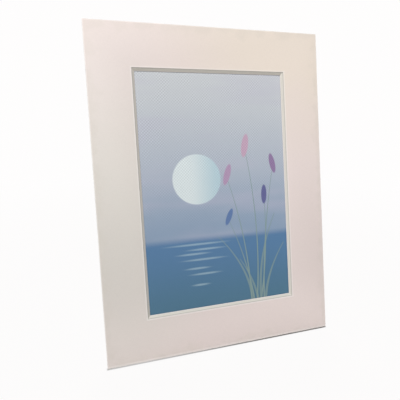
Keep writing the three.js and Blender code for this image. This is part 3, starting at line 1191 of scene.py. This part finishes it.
@dataclass(frozen=True)
class Easel:
    """The die-cut easel: one flat blank, folded along two scores.

    The blank lies in u and v: u runs from the glue panel over the fold to the wing's rear edge,
    v up the frame. Below the panel hangs the lock flap.
    """

    thickness: float = 1.2
    inner_radius: float = 0.4
    front: float = 4.3
    fold_u: float = -1.0
    fold_v: float = 21.6
    panel_left: float = -40.0
    panel_top: float = 131.9
    panel_corner: float = 6.0
    wing_top: float = 16.9
    wing_corner: float = 4.0
    heel_front: float = 47.1
    heel_rear: float = 62.1
    heel_rise: float = 9.0
    board_rear: float = 4.1
    cut_rear: float = 19.2
    cut_left: float = -1.3
    catch_front: float = 17.2
    catch_top: float = 19.7
    catch_height: float = 6.0
    flap_left: float = -35.0
    flap_right: float = -3.6
    flap_neck: float = 8.9
    flap_rear: float = 41.9
    flap_taper: float = 7.0
    hook_side: float = 8.9
    hook_corner: float = 2.5
    slit_half: float = 0.9
    slit_base: float = 18.9
    flap_limit: float = 10.0
    bends: int = 8

    @property
    def middle_radius(self) -> float:
        """Radius of the card's middle in a fold."""
        return self.inner_radius + self.thickness / 2

    @property
    def arc(self) -> float:
        """Length of the card's middle round a fold."""
        return self.middle_radius * math.pi / 2

    @property
    def fold_rear(self) -> float:
        """Depth of the fold's centre, where the wing and the flap become straight."""
        return self.front + self.thickness + self.inner_radius

    def wing_u(self, depth: float) -> float:
        """Gives the blank's u of a point of the wing at a depth."""
        return self.fold_u + self.arc + depth - self.fold_rear

    def flap_v(self, depth: float) -> float:
        """Gives the blank's v of a point of the flap at a depth."""
        return self.fold_v - self.arc - depth + self.fold_rear

    def floor_at(self, depth: float) -> float:
        """Gives the height of the table in the leaning axes at a depth."""
        return (depth - self.board_rear) * math.tan(LEAN.angle)

    def outline(self) -> np.ndarray:
        """Draws the blank's outline, anticlockwise from the glue panel's bottom left corner.

        Returns:
            The outline's points.
        """
        tip = self.flap_v(self.flap_rear)
        ear = self.flap_v(self.flap_rear - self.flap_taper)
        neck, base = self.flap_v(self.flap_neck), self.flap_v(self.slit_base)
        slit, corner = self.slit_half, self.hook_corner
        flap = [
            [self.panel_left, self.fold_v, 0],
            [self.flap_left, self.fold_v, 0],
            [self.flap_left, self.fold_v - self.arc, 0],
            [self.flap_left + self.flap_taper, tip, corner],
            [-slit, tip, corner / 2],
            [-slit, base, 0],
            [slit, base, 0],
            [slit, ear, corner / 2],
            [self.hook_side, ear, corner],
            [self.hook_side, neck, corner],
            [self.flap_right, neck, 0],
            [self.flap_right, self.fold_v, 0],
            [self.cut_left, self.fold_v, 0],
            [self.cut_left, self.fold_v + self.cut_rear - self.fold_rear, 0],
        ]
        centre = (self.wing_u(self.fold_rear), self.fold_v)
        swing = round_cut(centre, self.cut_rear - self.fold_rear, 90, 0)
        catch = self.wing_u(self.catch_front)
        rear, heel = self.wing_u(self.heel_rear), self.floor_at(self.heel_rear)
        wing = [
            [self.wing_u(self.cut_rear), self.catch_top, 0],
            [catch, self.catch_top, 0],
            [catch, self.catch_top - self.catch_height, corner],
            [self.wing_u(self.heel_front), self.floor_at(self.heel_front), 0],
            [rear, heel, 0],
            [rear, heel + self.heel_rise, self.wing_corner],
            [self.wing_u(self.wing_top), self.panel_top, self.wing_corner],
            [self.panel_left, self.panel_top, self.panel_corner],
        ]
        return rounded(np.vstack([flap, swing, wing]))

    def score(self, flat: np.ndarray, faces: list[list[int]]) -> tuple[np.ndarray, list[list[int]]]:
        """Cuts the blank's faces along lines across both folds, so that they can bend.

        Args:
            flat: The blank's points.
            faces: Its faces.

        Returns:
            The points and faces after the cuts.
        """
        mesh = bpy.data.meshes.new("blank")
        mesh.from_pydata(flat.tolist(), [], faces)
        blank = bmesh.new()
        blank.from_mesh(mesh)
        bmesh.ops.triangulate(blank, faces=[face for face in blank.faces if len(face.verts) > 4])
        steps = np.linspace(0, self.arc, self.bends + 1)
        lines = [((self.fold_u + step, 0, 0), (1, 0, 0)) for step in steps]
        lines += [((0, self.fold_v - step, 0), (0, 1, 0)) for step in steps]
        for place, across in lines:
            everything = [*blank.verts, *blank.edges, *blank.faces]
            bmesh.ops.bisect_plane(blank, geom=everything, dist=1e-5, plane_co=place, plane_no=across)
        points = np.array([vertex.co[:] for vertex in blank.verts])
        cut = [[vertex.index for vertex in face.verts] for face in blank.faces]
        blank.free()
        bpy.data.meshes.remove(mesh)
        return points, cut

    def fold(self, flat: np.ndarray) -> np.ndarray:
        """Folds the blank.

        A point at a distance s past a fold line, w in front of the card's middle, turns by the
        angle a = s / r up to a right angle, where r is the middle's radius. It lies (r + w) sin a
        beside the fold's centre and (r + w) cos a in front of it, and then runs straight back.

        Args:
            flat: Points of the blank: u, v and the height w.

        Returns:
            Upright points in millimetres.
        """
        u, v, w = flat.T
        hangs = (v < self.fold_v) & (u < self.flap_limit)
        past = np.where(hangs, self.fold_v - v, u - self.fold_u)
        turn = np.clip(past / self.middle_radius, 0, math.pi / 2)
        reach = self.middle_radius + w
        beside = reach * np.sin(turn)
        depth = self.fold_rear - reach * np.cos(turn) + np.clip(past - self.arc, 0, None)
        x = np.where(hangs | (past < 0), u, self.fold_u + beside)
        z = np.where(hangs, self.fold_v - beside, v)
        return np.column_stack([x, depth, z])

    def build(self) -> None:
        """Cuts, scores and folds the blank, and replaces the CAD easel."""
        card = CutCard(self.thickness)
        flat, faces = self.score(*card.shell(self.outline()))
        points, finish = self.fold(flat), FoldedCardFinish()
        marks = {"blank": flat, "rim": card.rim(flat[:, 2])}
        make_piece("folded_easel", points, faces, finish, Slot.EASEL, ["easel"], **marks)


@dataclass(frozen=True)
class Strips:
    """The three card strips between mat and backboard, which keep their CAD shape."""

    nodes: tuple[str, ...] = ("spacer_left", "spacer_right", "spacer_bottom")

    def dress(self) -> None:
        """Gives each strip its card."""
        material = StripFinish().material()
        for name in self.nodes:
            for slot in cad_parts[name].material_slots:
                slot.material = material
            log.info("%s: dressed", name)


@dataclass(frozen=True)
class GlueFilms:
    """Films of dried glue that fill the gaps between the boards, a little short of their edges."""

    easel: Easel = Easel()
    pocket_half: float = 51.3
    seat: float = 23.45
    gaps: tuple[float, ...] = (1.8, 2.5)
    easel_gap: float = 4.2
    thickness: float = 0.18
    soften: float = 0.05
    short: float = 1.1
    waver: float = 0.35
    waves: tuple[int, int] = (17, 41)
    steps: int = 40

    def film(
        self, low: Sequence[float], high: Sequence[float], depth: float
    ) -> tuple[np.ndarray, list[list[int]]]:
        """Draws one film: a rectangle whose edge wavers by two sines of the way along it.

        Args:
            low: Lowest x and z of the boards' overlap.
            high: Highest x and z.
            depth: Depth of the film's middle.

        Returns:
            Its upright points and its faces.
        """
        low, high = np.array(low) + self.short, np.array(high) - self.short
        corners = np.array([low, (high[0], low[1]), high, (low[0], high[1])])
        share = np.linspace(0, 1, self.steps, endpoint=False)[:, None]
        sides = corners[:, None] + (np.roll(corners, -1, axis=0) - corners)[:, None] * share
        outline = sides.reshape(-1, 2)
        way = np.linspace(0, 2 * math.pi, len(outline), endpoint=False)
        slow, quick = self.waves
        swell = self.waver * (np.sin(slow * way + depth) + 0.6 * np.sin(quick * way + 3 * low[0]))
        middle = (low + high) / 2
        outline = outline + np.sign(middle - outline) * np.abs(swell)[:, None] * 0.6
        flat, faces = CutCard(self.thickness, self.soften).shell(outline)
        x, z, height = flat.T
        return np.column_stack([x, depth + height, z]), faces

    def build(self) -> None:
        """Lays a film between each two boards, all in one piece."""
        side, pocket, seat, easel = HALF_WIDTH, self.pocket_half, self.seat, self.easel
        beds = [
            ((-side, seat), (-pocket, HEIGHT)),
            ((pocket, seat), (side, HEIGHT)),
            ((-side, 0), (side, seat)),
        ]
        films = [self.film(low, high, gap) for gap in self.gaps for low, high in beds]
        low, high = (easel.panel_left, easel.fold_v), (easel.cut_left, easel.panel_top)
        films.append(self.film(low, high, self.easel_gap))
        starts = np.cumsum([0] + [len(points) for points, _ in films])
        points = np.vstack([points for points, _ in films])
        faces = [
            [int(start) + number for number in face]
            for start, (_, film_faces) in zip(starts, films)
            for face in film_faces
        ]
        make_piece("glue_films", points, faces, GlueFinish(), Slot.STRIP)


# Studio


@dataclass(frozen=True)
class Lamp:
    """A square soft lamp that looks at the middle of the frame."""

    name: str
    place: tuple[float, float, float]
    level: float
    side: float
    aim: tuple[float, float, float] = (0.0, 0.0, 0.1)

    def build(self) -> None:
        """Makes the lamp: a level of 1 shows a white card that faces it as white.

        At a distance d the lamp's power is the level times pi squared times d squared.
        """
        away = Vector(self.place) - Vector(self.aim)
        light = bpy.data.lights.new(self.name, "AREA")
        light.shape = "SQUARE"
        light.size = self.side
        light.energy = self.level * math.pi**2 * away.length_squared
        lamp = link(self.name, light)
        lamp.location = self.place
        lamp.rotation_euler = away.to_track_quat("Z", "Y").to_euler()


@dataclass(frozen=True)
class Studio:
    """Floor, backdrop and lamps."""

    lamps: tuple[Lamp, ...] = (
        Lamp("key", (-0.42, -0.9, 1.13), 0.85, 0.5),
        Lamp("back_fill", (0.35, 0.95, 0.75), 0.8, 0.8),
    )
    ambient: float = 0.14
    floor_half: float = 3.0
    floor_drop: float = 0.00002
    floor_points: int = 13

    def floor(self) -> None:
        """Lays the floor as a grid of quads."""
        side = np.linspace(-self.floor_half, self.floor_half, self.floor_points)
        y, x = np.meshgrid(side, side, indexing="ij")
        points = np.stack([x, y, np.full_like(x, -self.floor_drop)], axis=-1).reshape(-1, 3)
        mesh = bpy.data.meshes.new("floor")
        mesh.from_pydata(points.tolist(), [], grid_faces(self.floor_points, self.floor_points))
        mesh.materials.append(FloorFinish().material())
        floor = link("floor", mesh)

    def backdrop(self) -> None:
        """Makes the world: even light, and white where the camera or a reflection sees it."""
        world = bpy.data.worlds.new("studio")
        world.use_nodes = True
        nodes = Nodes(world.node_tree)
        light = nodes.add("Background", {"Color": WHITE, "Strength": self.ambient})
        white = nodes.add("Background", {"Color": PAPER_WHITE, "Strength": 1.0})
        shown = nodes.add("MixShader", {0: nodes.seen(), 1: light, 2: white})
        nodes.add("OutputWorld", {"Surface": shown})
        bpy.context.scene.world = world

    def build(self) -> None:
        """Builds the floor, the backdrop and the lamps."""
        self.floor()
        self.backdrop()
        for lamp in self.lamps:
            lamp.build()
        bpy.context.scene.view_settings.view_transform = "Standard"
        log.info("studio: %d lamps", len(self.lamps))


@dataclass(frozen=True)
class PhotoCamera:
    """The photograph's camera, level and looking down at the frame from its left."""

    place: tuple[float, float, float] = (-0.07228, -0.21447, 0.14782)
    heading: float = 16.616
    pitch: float = -14.404
    focal_pixels: float = 350.56
    image_pixels: float = 400.0
    sensor: float = 36.0
    nearest: float = 0.01

    def build(self) -> None:
        """Makes the camera: its lens is the sensor times focal pixels over the image's width."""
        data = bpy.data.cameras.new("photo_camera")
        data.sensor_width = self.sensor
        data.lens = self.sensor * self.focal_pixels / self.image_pixels
        data.clip_start = self.nearest
        camera = link("photo_camera", data)
        camera.location = self.place
        camera.rotation_euler = (math.radians(90 + self.pitch), 0, math.radians(-self.heading))
        bpy.context.scene.camera = camera
        log.info("camera: %.1f mm lens", data.lens)


@dataclass(frozen=True)
class PhotoFrame:
    """The whole frame, front to back."""

    mat: MatBoard = MatBoard()
    art: ArtPrint = ArtPrint()
    strips: Strips = Strips()
    back: Backboard = Backboard()
    easel: Easel = Easel()
    glue: GlueFilms = GlueFilms()

    def build(self) -> None:
        """Builds and dresses each piece in order."""
        self.mat.build()
        self.art.build()
        self.strips.dress()
        self.back.build()
        self.easel.build()
        self.glue.build()


def main() -> None:
    """Builds the camera, the studio and the frame."""
    logging.basicConfig(level=logging.INFO, format="%(message)s")
    PhotoCamera().build()
    Studio().build()
    PhotoFrame().build()


if __name__ == "__main__":
    main()
